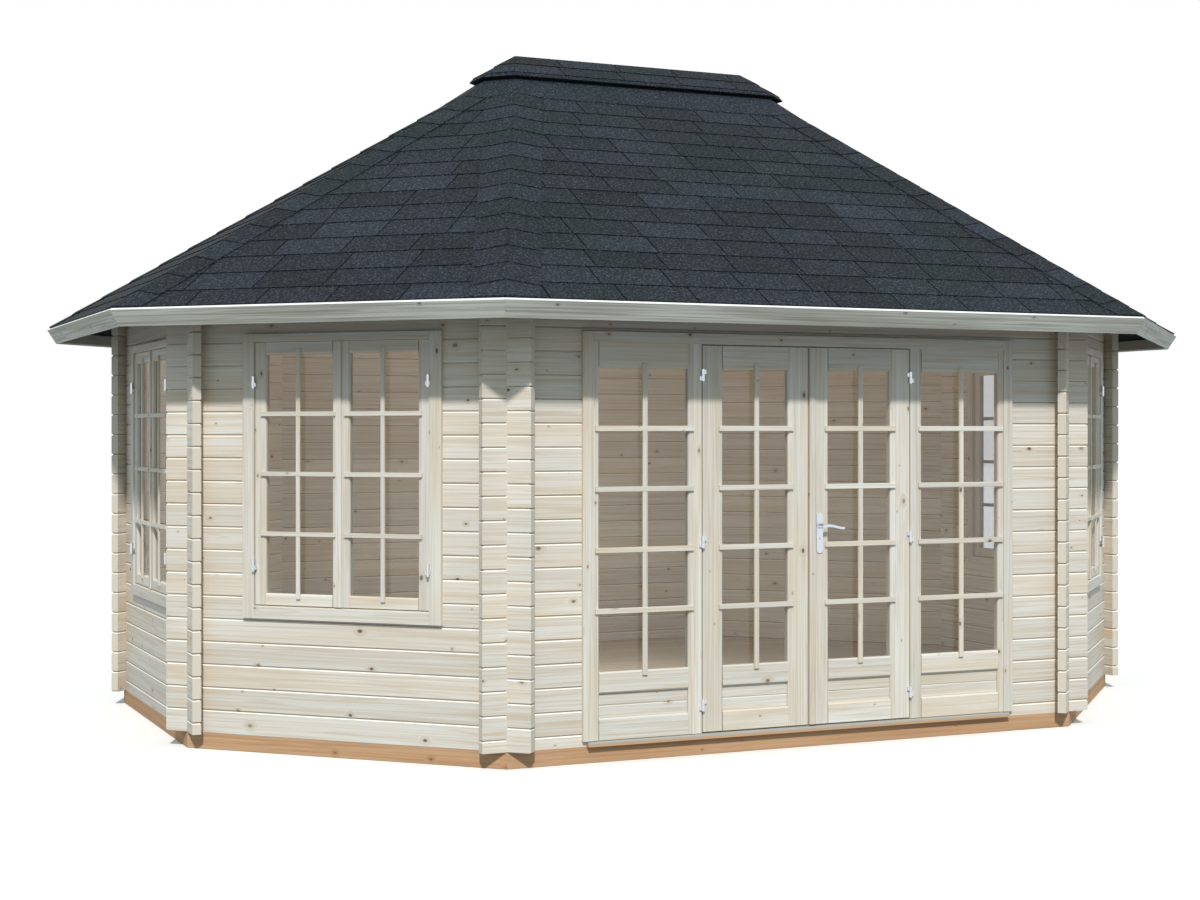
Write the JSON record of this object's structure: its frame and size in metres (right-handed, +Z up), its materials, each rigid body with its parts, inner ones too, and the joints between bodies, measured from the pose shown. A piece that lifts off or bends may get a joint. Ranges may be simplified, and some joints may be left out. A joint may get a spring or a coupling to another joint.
{
  "type": "closed log cabin gazebo",
  "caption": "Closed eight-sided log cabin gazebo, longer than deep, with crossed log corners, a hipped shingle roof, casement windows and a glazed double door that swings out.",
  "frame": {"origin": "on the ground under the middle of the plan", "axes": "+X along the front wall, +Y from the doors to the back wall, +Z up"},
  "size_m": [6.579, 5.079, 3.809],
  "materials": {
    "log_timber": "planed untreated softwood",
    "joinery_timber": "planed untreated softwood",
    "base_timber": "brown pressure-treated timber",
    "floor_timber": "planed boards",
    "roof_covering": "softwood boards under dark mineral shingles",
    "threshold_metal": "satin",
    "clear_glass": "clear",
    "bright_steel": "polished"
  },
  "bodies": {
    "cabin": {"back_left_roof": "roof_covering", "back_left_wall": "log_timber", "back_right_roof": "roof_covering", "back_right_wall": "log_timber", "back_roof": "roof_covering", "back_wall": "log_timber", "door_head": "joinery_timber", "door_jambs_and_posts": "joinery_timber", "door_threshold": "threshold_metal", "fascia_diagonal": "joinery_timber", "fascia_square": "joinery_timber", "floor_deck": "floor_timber", "floor_joists": "base_timber", "front_left_roof": "roof_covering", "front_left_wall": "log_timber", "front_left_wall_beside_window": "log_timber", "front_right_roof": "roof_covering", "front_right_wall": "log_timber", "front_right_wall_beside_window": "log_timber", "front_roof": "roof_covering", "front_wall_beside_door": "log_timber", "front_wall_over_door": "log_timber", "ground_beams_diagonal": "base_timber", "ground_beams_square": "base_timber", "hinge_pins": "bright_steel", "hip_rafters": "joinery_timber", "left_roof": "roof_covering", "left_wall": "log_timber", "left_wall_beside_window": "log_timber", "ridge_beam": "joinery_timber", "ridge_cap": "roof_covering", "right_roof": "roof_covering", "right_wall": "log_timber", "right_wall_beside_window": "log_timber", "side_light_panes": "clear_glass", "side_lights": "joinery_timber", "window_casements": "joinery_timber", "window_frames": "joinery_timber", "window_hinges": "bright_steel", "window_panes": "clear_glass"},
    "left_door": {"left_door_leaf": "joinery_timber", "left_door_pane": "clear_glass", "left_door_hinges": "bright_steel"},
    "right_door": {"right_door_leaf": "joinery_timber", "right_door_pane": "clear_glass", "right_door_hinges": "bright_steel", "meeting_strip": "joinery_timber", "handle_plates": "bright_steel"},
    "lever": {"lever": "bright_steel"}
  },
  "joints": [
    {"name": "left_door_swing", "type": "hinge", "parent": "cabin", "child": "left_door", "pos_m": [-0.603, -2.14751, 1.05], "axis": [0, 0, -1], "range_deg": [0, 120]},
    {"name": "right_door_swing", "type": "hinge", "parent": "cabin", "child": "right_door", "pos_m": [0.603, -2.14751, 1.05], "axis": [0, 0, 1], "range_deg": [0, 120]},
    {"name": "lever_turn", "type": "hinge", "parent": "right_door", "child": "lever", "pos_m": [0.062, -2.12451, 1.109], "axis": [0, 1, 0], "range_deg": [0, 40], "stiffness_Nm_per_rad": 1.2}
  ]
}
